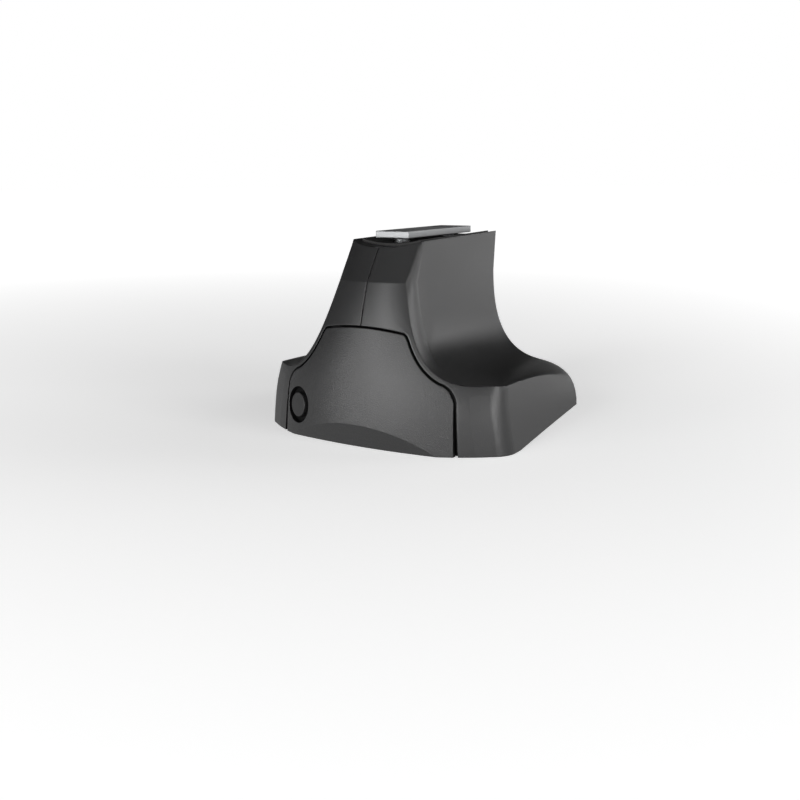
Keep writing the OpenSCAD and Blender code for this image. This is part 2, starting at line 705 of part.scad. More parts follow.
// Carriage: a threaded block with two cheeks whose slanted slots lift the hanger.
cheek_out = frame_in - plate_gap;
cheek_in = cheek_out - cheek_t;
slot_low_y = pin_y - carriage_travel;
cheek_r = pin_r + 4;
block_y = pin_y + 10;
block_l = 11;
block_h = 18;
module carriage() {
    color(steel) seated() difference() {
        union() {
            both_sides() along_x(cheek_in, cheek_out) {
                hull() {
                    translate([slot_low_y, pin_low]) circle(r = cheek_r);
                    translate([pin_y, pin_high]) circle(r = cheek_r);
                }
                polygon([[slot_low_y, pin_low], [pin_y, pin_high],
                    [block_y + block_l, screw_z + block_h / 2],
                    [block_y + block_l, screw_z - block_h / 2]]);
            }
            translate([-cheek_out, block_y, screw_z - block_h / 2]) cube([2 * cheek_out, block_l, block_h]);
        }
        slot_x(slot_low_y, pin_low, pin_y, pin_high, pin_r + slot_clear);
        along_screw(0) cylinder(r = screw_r, h = 120);
    }
}

// Hanger: two arms on the stub pins, carried forward and down to the hook plate.
arm_out = cheek_in - plate_gap;
arm_in = arm_out - arm_t;
hook_y = 9.5;
hook_t = 3.4;
hook_low = 1;
hook_high = front_plate_low - 4;
peg_z = 7;
peg_stem_r = 2.5;
arm_low = 9;
arm_h = 12;
module hanger() {
    color(black_steel) seated() difference() {
        union() {
            both_sides() along_x(arm_in, arm_out) {
                polygon([[hook_y + hook_t - hair, arm_low], [pin_y - 4, arm_low + 2],
                    [pin_y + 6, pin_high - 6], [pin_y + 6, pin_high], [pin_y - 6, pin_high],
                    [pin_y - 12, arm_low + 2 + arm_h], [hook_y + hook_t - hair, arm_low + arm_h]]);
                translate([pin_y, pin_high]) circle(r = pin_r + 3);
            }
            along_y(hook_y, hook_y + hook_t)
                polygon([[-way_out_w / 2 + 2, hook_low], [way_out_w / 2 - 2, hook_low],
                    [way_out_w / 2 - 2, peg_z + 6], [arm_out + 4, hook_high], [-arm_out - 4, hook_high],
                    [-way_out_w / 2 + 2, peg_z + 6]]);
        }
        along_y(hook_y - 1, hook_y + hook_t + 1)
            polygon([[-6, hook_low + 3], [6, hook_low + 3], [3, hook_high - 8], [-3, hook_high - 8]]);
        translate([-far / 2, pin_y, pin_high]) rotate([0, 90, 0]) cylinder(r = pin_r + hair, h = far);
        both_sides() translate([peg_pitch / 2, 0, peg_z]) rotate([-90, 0, 0])
            cylinder(r = peg_stem_r + hair, h = 30);
    }
}
module hanger_pins() {
    color(steel) seated() both_sides() translate([arm_in, pin_y, pin_high]) rotate([0, 90, 0])
        cylinder(r = pin_r, h = frame_out - arm_in);
}
peg_front = 3.4;
peg_l = hook_y - peg_front + hook_t;
module hook_pegs() {
    color(steel) seated() both_sides() translate([peg_pitch / 2, hook_y + hook_t, peg_z]) rotate([90, 0, 0])
        rotate_extrude() polygon([[0, 0], [peg_stem_r, 0], [peg_stem_r, hook_t], [peg_r - 1, hook_t],
            [peg_r - 1, hook_t + 2.6], [peg_r, hook_t + 2.6], [peg_r, peg_l - 1.4],
            [peg_r - 1.2, peg_l - 0.3], [0, peg_l]]);
}

// Bar clamp: rubber pad, plate in the bar's slot, two bolts, washers and nuts.
slot_lip = 2.4;
clamp_low = saddle_low + slot_lip;
clamp_mid_y = (stud_front_y + stud_rear_y) / 2;
nut_h = 6.5;
nut_r = 7.5;
washer_low = frame_top - frame_t - washer_t;
nut_low = washer_low - seat_gap - nut_h;
module bar_pad() {
    color(rubber) seated() difference() {
        intersection() {
            translate([-room_half_w, 24, saddle_low - 6]) cube([2 * room_half_w, rear_y - 28, 14]);
            saddle_cut(0);
        }
        saddle_cut(pad_t);
        for (y = [stud_front_y, stud_rear_y])
            translate([0, y, stud_hole_low]) cylinder(r = screw_r + stud_clear, h = far);
    }
}
module clamp_plate() {
    color(steel) seated() difference() {
        translate([-clamp_plate_w / 2, clamp_mid_y - clamp_plate_l / 2, clamp_low])
            cube([clamp_plate_w, clamp_plate_l, clamp_plate_t]);
        for (y = [stud_front_y, stud_rear_y]) translate([0, y, clamp_low]) clamp_bolt_form(hair);
    }
}
module clamp_bolt_form(extra) {
    translate([0, 0, -1]) cylinder(r = screw_r + extra, h = clamp_plate_t + 1 + extra);
    cylinder(r1 = screw_r + extra, r2 = screw_r + clamp_plate_t + extra, h = clamp_plate_t);
}
module clamp_bolts() {
    color(steel) seated() for (y = [stud_front_y, stud_rear_y]) translate([0, y, clamp_low]) {
        cylinder(r1 = screw_r - thread_clear, r2 = screw_r + clamp_plate_t - thread_clear,
            h = clamp_plate_t);
        translate([0, 0, nut_low - 5 - clamp_low])
            cylinder(r = screw_r - thread_clear, h = clamp_low - nut_low + 5 + clamp_plate_t);
    }
}
module clamp_washers() {
    color(steel) seated() for (y = [stud_front_y, stud_rear_y]) translate([0, y, washer_low]) difference() {
        cylinder(r = 8, h = washer_t);
        translate([0, 0, -1]) cylinder(r = screw_r + 0.3, h = washer_t + 2);
    }
}
module clamp_nut(y) {
    color(steel) seated() translate([0, y, nut_low]) difference() {
        cylinder(r = nut_r, h = nut_h, $fn = 6);
        translate([0, 0, -1]) cylinder(r = screw_r, h = nut_h + 2);
    }
}
module clamp_nut_front() {
    clamp_nut(stud_front_y);
}
module clamp_nut_rear() {
    clamp_nut(stud_rear_y);
}

housing_left();
housing_right();
front_cover();
lock_sleeve();
lock_core();
lock_tongue();
lock_nut();
steel_frame();
base_plate();
base_screws();
frame_bolts();
frame_nuts();
tension_screw();
screw_washer();
screw_bush();
screw_clip();
carriage();
hanger();
hanger_pins();
hook_pegs();
bar_pad();
clamp_plate();
clamp_bolts();
clamp_washers();
clamp_nut_front();
clamp_nut_rear();
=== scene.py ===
"""The looks of a roof bar foot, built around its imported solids."""

import json
import math

import bpy
import numpy as np
from mathutils import Matrix, Vector

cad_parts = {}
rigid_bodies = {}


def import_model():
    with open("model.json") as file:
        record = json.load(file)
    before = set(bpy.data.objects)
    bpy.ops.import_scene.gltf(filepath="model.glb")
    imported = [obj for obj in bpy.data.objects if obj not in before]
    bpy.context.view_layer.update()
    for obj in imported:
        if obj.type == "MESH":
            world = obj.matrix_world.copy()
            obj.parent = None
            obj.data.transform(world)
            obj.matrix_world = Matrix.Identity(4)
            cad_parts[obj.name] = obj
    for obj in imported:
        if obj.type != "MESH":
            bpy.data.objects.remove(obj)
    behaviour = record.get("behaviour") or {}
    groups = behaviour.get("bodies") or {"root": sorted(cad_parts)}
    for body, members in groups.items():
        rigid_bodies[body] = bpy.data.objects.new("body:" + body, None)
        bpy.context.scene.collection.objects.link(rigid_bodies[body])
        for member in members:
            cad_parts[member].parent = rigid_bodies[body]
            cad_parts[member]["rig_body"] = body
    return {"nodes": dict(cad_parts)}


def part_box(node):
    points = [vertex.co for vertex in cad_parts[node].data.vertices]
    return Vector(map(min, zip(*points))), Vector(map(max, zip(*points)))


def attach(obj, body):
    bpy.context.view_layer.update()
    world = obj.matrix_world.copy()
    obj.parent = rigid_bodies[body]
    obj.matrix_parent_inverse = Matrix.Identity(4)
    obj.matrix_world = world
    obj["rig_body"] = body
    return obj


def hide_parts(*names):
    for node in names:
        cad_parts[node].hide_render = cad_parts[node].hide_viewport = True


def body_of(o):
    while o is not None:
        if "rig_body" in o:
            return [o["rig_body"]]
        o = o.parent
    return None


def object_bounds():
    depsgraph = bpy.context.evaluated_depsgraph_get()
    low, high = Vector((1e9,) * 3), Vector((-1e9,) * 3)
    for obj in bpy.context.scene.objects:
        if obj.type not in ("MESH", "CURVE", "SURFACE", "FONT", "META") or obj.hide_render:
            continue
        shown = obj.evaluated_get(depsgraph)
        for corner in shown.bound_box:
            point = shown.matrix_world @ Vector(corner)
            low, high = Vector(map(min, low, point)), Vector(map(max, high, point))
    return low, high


bl_info = {
    "name": "Roof bar foot",
    "version": (1, 0, 0),
    "blender": (4, 5, 0),
    "location": "View3D > Sidebar > Roof foot",
    "description": "Dresses a roof bar foot's solids with moulded, rubber and plated finishes",
    "category": "Object",
}

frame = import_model()
NODES = frame["nodes"]
CAD_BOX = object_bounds()
MM = 0.001


class MouldingSettings(bpy.types.PropertyGroup):
    """Sizes and colours of the moulded plastic."""

    smooth_angle: bpy.props.FloatProperty(
        name="Smoothing angle",
        description="Faces of the cover that meet at less than this angle are shaded as one",
        default=math.radians(26),
        subtype="ANGLE",
    )
    ridge_angle: bpy.props.FloatProperty(
        name="Ridge angle",
        description="Faces of the housing that meet at more than this angle keep a crisp edge",
        default=math.radians(13),
        subtype="ANGLE",
    )
    colour: bpy.props.FloatVectorProperty(
        name="Plastic",
        description="Colour of the housing and the cover",
        default=(0.025, 0.025, 0.0255),
        subtype="COLOR",
    )
    dark_colour: bpy.props.FloatVectorProperty(
        name="Dark plastic",
        description="Colour of the base",
        default=(0.018, 0.018, 0.019),
        subtype="COLOR",
    )
    grain: bpy.props.FloatProperty(
        name="Grain",
        description="Size of the moulding's grain",
        default=0.38 * MM,
        unit="LENGTH",
    )


class MetalSettings(bpy.types.PropertyGroup):
    """Colours of the metal parts and the pitch of their threads."""

    zinc: bpy.props.FloatVectorProperty(
        name="Zinc",
        description="Colour of the plated parts",
        default=(0.34, 0.345, 0.35),
        subtype="COLOR",
    )
    coated: bpy.props.FloatVectorProperty(
        name="Coated steel",
        description="Colour of the coated parts",
        default=(0.035, 0.035, 0.038),
        subtype="COLOR",
    )
    bronze: bpy.props.FloatVectorProperty(
        name="Bronze",
        description="Colour of the bush",
        default=(0.5, 0.33, 0.16),
        subtype="COLOR",
    )
    pitch: bpy.props.FloatProperty(
        name="Pitch",
        description="Pitch of the M8 threads",
        default=1.25 * MM,
        unit="LENGTH",
    )


class StageSettings(bpy.types.PropertyGroup):
    """Camera and studio."""

    camera_place: bpy.props.FloatVectorProperty(
        name="Camera",
        description="Where the camera stands",
        default=(0.2324, -0.3873, 0.1184),
        unit="LENGTH",
    )
    lens: bpy.props.FloatProperty(
        name="Lens",
        description="Focal length in millimetres",
        default=41.74,
        unit="CAMERA",
    )
    lamp_level: bpy.props.FloatProperty(
        name="Lamps",
        description="Level of all the lamps together",
        default=1.0,
    )
    floor_glow: bpy.props.FloatProperty(
        name="Floor",
        description="Light of the near floor as the camera sees it",
        default=0.5,
    )
    floor_mirrored: bpy.props.FloatProperty(
        name="Mirrored floor",
        description="Light of the distant floor as reflections see it",
        default=1.0,
    )
    world_strength: bpy.props.FloatProperty(
        name="Surround",
        description="Light that falls on the foot from the horizon",
        default=0.03,
    )
    overhead_strength: bpy.props.FloatProperty(
        name="Overhead",
        description="Light that falls on the foot from above",
        default=0.01,
    )
    mirror_strength: bpy.props.FloatProperty(
        name="Mirrored",
        description="Strength of the horizon in reflections",
        default=1.0,
    )
    left_share: bpy.props.FloatProperty(
        name="Left share",
        description="Share of the mirrored surround that is left on the left side",
        default=0.3,
        subtype="FACTOR",
    )
    ceiling_strength: bpy.props.FloatProperty(
        name="Ceiling",
        description="Strength of the ceiling in reflections",
        default=0.16,
    )


def settings(name):
    """One of the scene's groups of settings."""
    return getattr(bpy.context.scene, name)


# The front face that the housing and the cover share, as the solids draw it: its centre line
# is a parabola below the break and leans back above it, and in plan it is an arc that tightens
# with height.
FRONT_Y = CAD_BOX[0][1]
FRONT_SLOPE = 0.0946
FRONT_CURVE = 1.98
BULGE_HEIGHT = 11 * MM
BREAK_HEIGHT = 74.5 * MM
FACET_LEAN = math.tan(math.radians(34))
LOW_RADIUS, HIGH_RADIUS = 100 * MM, 40 * MM
TIGHTENS_FROM, TIGHTENS_OVER = 16 * MM, 62 * MM
NORMAL_STEP = 0.05 * MM

# A face counts as part of the front face inside this width, above this height, this close to
# it and with a normal that agrees this well.
FRONT_HALF_WIDTH = 51 * MM
FRONT_LOWEST = 0.2 * MM
FRONT_SLACK = 0.35 * MM
FRONT_AGREES = 0.985

# The scoop at the cover's lower edge: where its faces look, and the polynomial fitted to it.
SCOOP_FORWARDS, SCOOP_DOWN, SCOOP_SIDEWAYS = -0.85, -0.25, 0.2
SCOOP_WIDTH, SCOOP_HEIGHT = 40 * MM, 10 * MM
SCOOP_POWERS = [(i, j) for i in range(7) for j in range(4)]
SCOOP_ERROR = 0.05 * MM

# The ledge that the cover rests on, and how the walls of its pocket and the cover's faces off its
# front are told from the rest; these all get painted shade.
LEDGE_Y = FRONT_Y + 13.7 * MM
LEDGE_FORWARDS = -0.95
LEDGE_SLACK = 0.2 * MM
POCKET_TOP = 60 * MM
WALL_REACH = 3 * MM
WALL_UPRIGHT = 0.05
WALL_OUTWARD = 0.2
COVER_INSIDE = -0.6


def front_middle(z):
    """Depth of the front face's centre line at a height."""
    above = min(z, BREAK_HEIGHT) - BULGE_HEIGHT
    bulge = FRONT_SLOPE * above + FRONT_CURVE * above * above
    return FRONT_Y + bulge + FACET_LEAN * max(z - BREAK_HEIGHT, 0.0)


def front_radius(z):
    """Radius of the front face in plan at a height."""
    share = max(0.0, min(1.0, (z - TIGHTENS_FROM) / TIGHTENS_OVER))
    return LOW_RADIUS + (HIGH_RADIUS - LOW_RADIUS) * share * share * (3 - 2 * share)


def front_depth(x, z):
    """Depth of the front face at a place."""
    radius = front_radius(z)
    return front_middle(z) + radius - math.sqrt(max(radius * radius - x * x, 0.0))


def front_normal(x, z, above_break):
    """Outward normal of the front face, with no facets."""
    step = NORMAL_STEP
    z = max(z, BREAK_HEIGHT + step) if above_break else min(z, BREAK_HEIGHT - step)
    across = (front_depth(x + step, z) - front_depth(x - step, z)) / (2 * step)
    up = (front_depth(x, z + step) - front_depth(x, z - step)) / (2 * step)
    return Vector((across, -1.0, up)).normalized()


def is_front(face):
    """Whether a face lies on the front face of the foot."""
    middle = face.center
    if abs(middle.x) > FRONT_HALF_WIDTH or middle.z < FRONT_LOWEST:
        return False
    true = front_normal(middle.x, middle.z, middle.z > BREAK_HEIGHT)
    near = abs(middle.y - front_depth(middle.x, middle.z)) < FRONT_SLACK
    return near and face.normal.dot(true) > FRONT_AGREES


def in_scoop(face):
    """Whether a face of the cover lies in the scoop at its lower edge."""
    x, y, z = face.normal
    looks_down = y < SCOOP_FORWARDS and z < SCOOP_DOWN and abs(x) < SCOOP_SIDEWAYS
    return looks_down and not is_front(face)


def in_pocket(face):
    """Whether a face of the housing is a wall of the cover's pocket or of the hollow behind it."""
    middle = face.center
    outward = face.normal.x * (1 if middle.x > 0 else -1)
    upright = abs(face.normal.y) < WALL_UPRIGHT and outward < WALL_OUTWARD
    wall = upright and middle.z < POCKET_TOP and middle.y < LEDGE_Y + WALL_REACH
    ledge = face.normal.y < LEDGE_FORWARDS and middle.y > LEDGE_Y - LEDGE_SLACK
    return wall or ledge


def only(obj):
    """Selects one object and nothing else."""
    bpy.ops.object.select_all(action="DESELECT")
    obj.select_set(True)
    bpy.context.view_layer.objects.active = obj


def edited(obj, *steps):
    """Runs mesh operators on one object in edit mode, each with the whole mesh selected."""
    only(obj)
    bpy.ops.object.mode_set(mode="EDIT")
    for step, options in steps:
        bpy.ops.mesh.select_all(action="SELECT")
        step(**options)
    bpy.ops.object.mode_set(mode="OBJECT")


def merge(reach):
    """The edit step that joins vertices closer than reach."""
    return bpy.ops.mesh.remove_doubles, {"threshold": reach}


def outwards():
    """The edit step that turns all faces outwards."""
    return bpy.ops.mesh.normals_make_consistent, {"inside": False}


def cut(place, direction, **options):
    """The edit step that cuts the mesh at a plane."""
    return bpy.ops.mesh.bisect, {"plane_co": place, "plane_no": direction, **options}


def linked(name, mesh):
    """A new object with a mesh, in the scene."""
    obj = bpy.data.objects.new(name, mesh)
    bpy.context.scene.collection.objects.link(obj)
    return obj


SOLID_WELD = 0.002 * MM


def merged_copy(node, name):
    """A copy of a solid's mesh with its loose triangles joined into one skin."""
    obj = linked(name, NODES[node].data.copy())
    obj.data.name = name
    edited(obj, merge(SOLID_WELD))
    return obj


def join(first, others):
    """Joins other objects into the first."""
    only(first)
    for other in others:
        other.select_set(True)
    bpy.ops.object.join()


def modified(obj, name, kind, **values):
    """Adds a modifier to the object, which is the active one, and applies it."""
    modifier = obj.modifiers.new(name, kind)
    for key, value in values.items():
        setattr(modifier, key, value)
    bpy.ops.object.modifier_apply(modifier=modifier.name)


def shade_corners(mesh, changed):
    """Gives some face corners normals of their own and leaves the others as they are."""
    normals = [changed.get(i, corner.vector) for i, corner in enumerate(mesh.corner_normals)]
    mesh.normals_split_custom_set([Vector(normal) for normal in normals])


def even_front(mesh):
    """Shades the faces that lie on the front face as the smooth surface they stand for."""
    changed = {}
    for face in mesh.polygons:
        if not is_front(face):
            continue
        for corner in face.loop_indices:
            point = mesh.vertices[mesh.loops[corner].vertex_index].co
            changed[corner] = front_normal(point.x, point.z, face.center.z > BREAK_HEIGHT)
    shade_corners(mesh, changed)


def even_scoop(mesh):
    """Shades the scoop at the cover's lower edge as the smooth surface its faces stand for."""
    scoop = [face for face in mesh.polygons if in_scoop(face)]
    corners = [corner for face in scoop for corner in face.loop_indices]
    points = np.array([mesh.vertices[mesh.loops[corner].vertex_index].co for corner in corners])
    x, z = points[:, 0] / SCOOP_WIDTH, points[:, 2] / SCOOP_HEIGHT
    terms = np.stack([x**i * z**j for i, j in SCOOP_POWERS], axis=1)
    factors = np.linalg.lstsq(terms, points[:, 1], rcond=None)[0]
    if np.abs(terms @ factors - points[:, 1]).max() > SCOOP_ERROR:
        raise RuntimeError("the scoop's faces don't lie on one smooth surface")
    pairs = list(zip(factors, SCOOP_POWERS))
    across = sum(f * i * x ** max(i - 1, 0) * z**j for f, (i, j) in pairs) / SCOOP_WIDTH
    up = sum(f * j * x**i * z ** max(j - 1, 0) for f, (i, j) in pairs) / SCOOP_HEIGHT
    normals = [Vector((a, -1.0, u)).normalized() for a, u in zip(across, up)]
    shade_corners(mesh, dict(zip(corners, normals)))


def finish_piece(obj, body, finish, replaced, smooth_angle):
    """Gives a piece its finish and its body, and hides the solids it stands for."""
    only(obj)
    bpy.ops.object.shade_smooth_by_angle(angle=smooth_angle)
    modified(obj, "even shading", "WEIGHTED_NORMAL", keep_sharp=True)
    even_front(obj.data)
    obj.data.materials.clear()
    obj.data.materials.append(bpy.data.materials[finish])
    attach(obj, body)
    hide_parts(*replaced)


def new_group(name, inputs, outputs):
    """A node group with the named sockets, and its two end nodes."""
    group = bpy.data.node_groups.new(name, "ShaderNodeTree")
    group.interface.new_socket("Vector", in_out="INPUT", socket_type="NodeSocketVector")
    for label, value in inputs.items():
        socket = group.interface.new_socket(label, in_out="INPUT", socket_type="NodeSocketFloat")
        socket.default_value = value
    for label, kind in outputs.items():
        group.interface.new_socket(label, in_out="OUTPUT", socket_type=kind)
    return group, group.nodes.new("NodeGroupInput"), group.nodes.new("NodeGroupOutput")


def feed(tree, socket, value):
    """Links a socket to another one, or sets it to a plain value."""
    if isinstance(value, bpy.types.NodeSocket):
        tree.links.new(value, socket)
    else:
        socket.default_value = value


def math_node(tree, operation, *values, clamp=False):
    """One step of arithmetic on values or sockets."""
    node = tree.nodes.new("ShaderNodeMath")
    node.operation = operation
    node.use_clamp = clamp
    for index, value in enumerate(values):
        feed(tree, node.inputs[index], value)
    return node.outputs[0]


def noise_node(tree, vector, scale, detail):
    """A noise texture."""
    node = tree.nodes.new("ShaderNodeTexNoise")
    node.inputs["Detail"].default_value = detail
    tree.links.new(vector, node.inputs["Vector"])
    feed(tree, node.inputs["Scale"], scale)
    return node


def ranged(tree, value, reach, result):
    """Carries a value over one range into another, held at the ends."""
    node = tree.nodes.new("ShaderNodeMapRange")
    tree.links.new(value, node.inputs["Value"])
    ends = ("From Min", "From Max", "To Min", "To Max")
    for end, number in zip(ends, (*reach, *result)):
        node.inputs[end].default_value = number
    return node.outputs["Result"]


def chosen(tree, factor, first, second):
    """The first value where the factor is 0, the second where it is 1."""
    node = tree.nodes.new("ShaderNodeMix")
    tree.links.new(factor, node.inputs["Factor"])
    feed(tree, node.inputs["A"], first)
    feed(tree, node.inputs["B"], second)
    return node.outputs["Result"]


# The Mix node has sockets for every kind of value; these are the ones for colours.
MIX_FIRST, MIX_SECOND, MIX_RESULT = 6, 7, 2


def mixed_colour(tree, factor, first, second):
    """The first colour where the factor is 0, the second where it is 1."""
    node = tree.nodes.new("ShaderNodeMix")
    node.data_type = "RGBA"
    tree.links.new(factor, node.inputs["Factor"])
    for index, value in ((MIX_FIRST, first), (MIX_SECOND, second)):
        feed(tree, node.inputs[index], (*value, 1.0) if isinstance(value, tuple) else value)
    return node.outputs[MIX_RESULT]


FLOAT, VECTOR = "NodeSocketFloat", "NodeSocketVector"
SPECK_RANGE = (0.56, 0.72)
GRAIN_DETAIL, GRAIN_ROUGHNESS = 3.0, 0.65
RUB_PATCHES, RUB_DETAIL = 260.0, 4.0
RUB_STRENGTH = 9.0
BEVEL_SAMPLES = 6
PATCH_DETAIL = 3.0


def grain_group():
    """Fine pitting of a moulded surface: height for a bump and a mask of its specks."""
    group, start, end = new_group(
        "moulded_grain", {"Size": 0.7 * MM}, {"Height": FLOAT, "Specks": FLOAT}
    )
    vector = start.outputs["Vector"]
    per_metre = math_node(group, "DIVIDE", 1.0, start.outputs["Size"])
    noise = noise_node(group, vector, per_metre, GRAIN_DETAIL)
    noise.inputs["Roughness"].default_value = GRAIN_ROUGHNESS
    cells = group.nodes.new("ShaderNodeTexVoronoi")
    group.links.new(vector, cells.inputs["Vector"])
    group.links.new(per_metre, cells.inputs["Scale"])
    both = math_node(group, "ADD", noise.outputs["Fac"], cells.outputs["Distance"])
    specks = ranged(group, noise.outputs["Fac"], SPECK_RANGE, (0.0, 1.0))
    group.links.new(both, end.inputs["Height"])
    group.links.new(specks, end.inputs["Specks"])


def edge_group():
    """Mask of the edges, broken up as rubbed edges are, and the normal of a rounded edge."""
    group, start, end = new_group(
        "rubbed_edge", {"Width": 0.5 * MM}, {"Mask": FLOAT, "Normal": VECTOR}
    )
    rounded = group.nodes.new("ShaderNodeBevel")
    rounded.samples = BEVEL_SAMPLES
    group.links.new(start.outputs["Width"], rounded.inputs["Radius"])
    geometry = group.nodes.new("ShaderNodeNewGeometry")
    alike = group.nodes.new("ShaderNodeVectorMath")
    alike.operation = "DOT_PRODUCT"
    group.links.new(rounded.outputs["Normal"], alike.inputs[0])
    group.links.new(geometry.outputs["Normal"], alike.inputs[1])
    turn = math_node(group, "SUBTRACT", 1.0, alike.outputs["Value"])
    patches = noise_node(group, start.outputs["Vector"], RUB_PATCHES, RUB_DETAIL)
    strong = math_node(group, "MULTIPLY", turn, RUB_STRENGTH, clamp=True)
    broken = math_node(group, "MULTIPLY", strong, patches.outputs["Fac"], clamp=True)
    group.links.new(broken, end.inputs["Mask"])
    group.links.new(rounded.outputs["Normal"], end.inputs["Normal"])


def patch_group():
    """Slow variation over a surface, for handled gloss and flow marks."""
    group, start, end = new_group("slow_patches", {"Size": 30 * MM}, {"Value": FLOAT})
    per_metre = math_node(group, "DIVIDE", 1.0, start.outputs["Size"])
    noise = noise_node(group, start.outputs["Vector"], per_metre, PATCH_DETAIL)
    group.links.new(noise.outputs["Fac"], end.inputs["Value"])


def group_node(tree, name, vector, **values):
    """A shared effect, placed in a material with its own values."""
    node = tree.nodes.new("ShaderNodeGroup")
    node.node_tree = bpy.data.node_groups[name]
    tree.links.new(vector, node.inputs["Vector"])
    for label, value in values.items():
        node.inputs[label].default_value = value
    return node


def toned(colour, gain, lift=0.0):
    """A colour made lighter or darker."""
    return tuple(min(1.0, channel * gain + lift) for channel in colour)


PATCH_SIZE = 30 * MM
PATCH_DARK, PATCH_LIGHT = 0.88, 1.1
SPECK_GAIN, SPECK_LIFT = 1.55, 0.012
RUBBED_GLOSS = 0.12


def surface(
    name,
    colour,
    roughness,
    metallic=0.0,
    grain=0.7 * MM,
    depth=0.05,
    speck=0.0,
    wear=0.3,
    edge=0.4 * MM,
    rough_spread=0.1,
    worn_colour=None,
    stretch=None,
    shine=0.5,
):
    """A material of one finish: grain, slow patches and rubbed edges on a plain colour."""
    material = bpy.data.materials.new(name)
    material.use_nodes = True
    tree = material.node_tree
    shader = tree.nodes["Principled BSDF"]
    shader.inputs["Metallic"].default_value = metallic
    shader.inputs["Specular IOR Level"].default_value = shine
    place = tree.nodes.new("ShaderNodeTexCoord").outputs["Object"]
    along = place
    if stretch:
        mapping = tree.nodes.new("ShaderNodeMapping")
        mapping.inputs["Scale"].default_value = stretch
        tree.links.new(place, mapping.inputs["Vector"])
        along = mapping.outputs["Vector"]
    fine = group_node(tree, "moulded_grain", along, Size=grain)
    rubbed = group_node(tree, "rubbed_edge", place, Width=edge)
    slow = group_node(tree, "slow_patches", place, Size=PATCH_SIZE)

    light = toned(colour, SPECK_GAIN, SPECK_LIFT)
    dark_patch, light_patch = toned(colour, PATCH_DARK), toned(colour, PATCH_LIGHT)
    ground = mixed_colour(tree, slow.outputs["Value"], dark_patch, light_patch)
    specks = math_node(tree, "MULTIPLY", fine.outputs["Specks"], speck)
    specked = mixed_colour(tree, specks, ground, light)
    rub = math_node(tree, "MULTIPLY", rubbed.outputs["Mask"], wear)
    worn = mixed_colour(tree, rub, specked, worn_colour or light)
    tree.links.new(worn, shader.inputs["Base Color"])

    lowest = roughness - rough_spread / 2
    rough = math_node(tree, "MULTIPLY_ADD", slow.outputs["Value"], rough_spread, lowest)
    smoother = math_node(tree, "MULTIPLY", rubbed.outputs["Mask"], RUBBED_GLOSS)
    rough = math_node(tree, "SUBTRACT", rough, smoother, clamp=True)
    tree.links.new(rough, shader.inputs["Roughness"])

    bump = tree.nodes.new("ShaderNodeBump")
    bump.inputs["Strength"].default_value = depth
    bump.inputs["Distance"].default_value = grain
    tree.links.new(fine.outputs["Height"], bump.inputs["Height"])
    tree.links.new(rubbed.outputs["Normal"], bump.inputs["Normal"])
    tree.links.new(bump.outputs["Normal"], shader.inputs["Normal"])


LOCK_RING_BLACK = (0.003, 0.003, 0.003)
# Near-black of the painted shade in the gaps and hollows round the cover.
PAINTED_SHADE_BLACK = (0.004, 0.004, 0.004)
RUBBER_BLACK = (0.014, 0.014, 0.014)
BARE_STEEL = (0.16, 0.16, 0.165)
LOCK_FACE_SHARE = 0.7
TURNING_MARKS = (1.0, 8.0, 1.0)


class FinishesOperator(bpy.types.Operator):
    """Builds the finishes that the pieces share."""

    bl_idname = "rooffoot.finishes"
    bl_label = "Finishes"

    def execute(self, context):
        moulding = settings("moulding")
        metal = settings("metal")
        grey, dark = tuple(moulding.colour), tuple(moulding.dark_colour)
        lock_grey = toned(grey, LOCK_FACE_SHARE)
        zinc, coated, bronze = tuple(metal.zinc), tuple(metal.coated), tuple(metal.bronze)
        grain = moulding.grain
        grain_group()
        edge_group()
        patch_group()
        surface("housing_plastic", grey, 0.35, grain=grain, depth=0.08, speck=0.25, edge=0.8 * MM)
        surface("cover_plastic", grey, 0.34, grain=grain, depth=0.22, speck=1.0, edge=0.7 * MM)
        surface(
            "dark_plastic", LOCK_RING_BLACK, 0.7, grain=0.4 * MM, depth=0.03, wear=0.0, shine=0.1
        )
        surface("lock_face", lock_grey, 0.4, grain=0.3 * MM, wear=0.5)
        # Painted shade: a near-black for the gaps and hollows round the cover, which are the same
        # plastic as the rest.
        surface(
            "painted_shade_plastic", PAINTED_SHADE_BLACK, 0.7, grain=0.6 * MM, depth=0.03, wear=0.0, shine=0.15
        )
        surface("base_plastic", dark, 0.55, grain=0.9 * MM, depth=0.15)
        surface("zinc_plate", zinc, 0.55, metallic=1.0, grain=0.5 * MM, speck=0.2, wear=0.4)
        surface(
            "turned_zinc", zinc, 0.42, metallic=1.0, grain=0.6 * MM, wear=0.4, stretch=TURNING_MARKS
        )
        surface(
            "coated_steel", coated, 0.45, grain=0.6 * MM, depth=0.12, wear=0.5,
            worn_colour=BARE_STEEL,
        )
        surface("bronze_bush", bronze, 0.35, metallic=1.0, grain=0.5 * MM)
        surface("soft_rubber", RUBBER_BLACK, 0.72, grain=0.8 * MM, depth=0.12, wear=0.1)
        return {"FINISHED"}


FINISH_OF = {
    "lock_sleeve": "dark_plastic",
    "lock_core": "lock_face",
    "lock_tongue": "zinc_plate",
    "lock_nut": "zinc_plate",
    "steel_frame": "coated_steel",
    "base_plate": "base_plastic",
    "base_screws": "zinc_plate",
    "frame_bolts": "zinc_plate",
    "frame_nuts": "zinc_plate",
    "tension_screw": "turned_zinc",
    "screw_washer": "zinc_plate",
    "screw_bush": "bronze_bush",
    "screw_clip": "coated_steel",
    "carriage": "zinc_plate",
    "hanger": "coated_steel",
    "hanger_pins": "turned_zinc",
    "hook_pegs": "zinc_plate",
    "bar_pad": "soft_rubber",
    "clamp_plate": "zinc_plate",
    "clamp_bolts": "turned_zinc",
    "clamp_washers": "zinc_plate",
    "clamp_nut_front": "zinc_plate",
    "clamp_nut_rear": "zinc_plate",
}

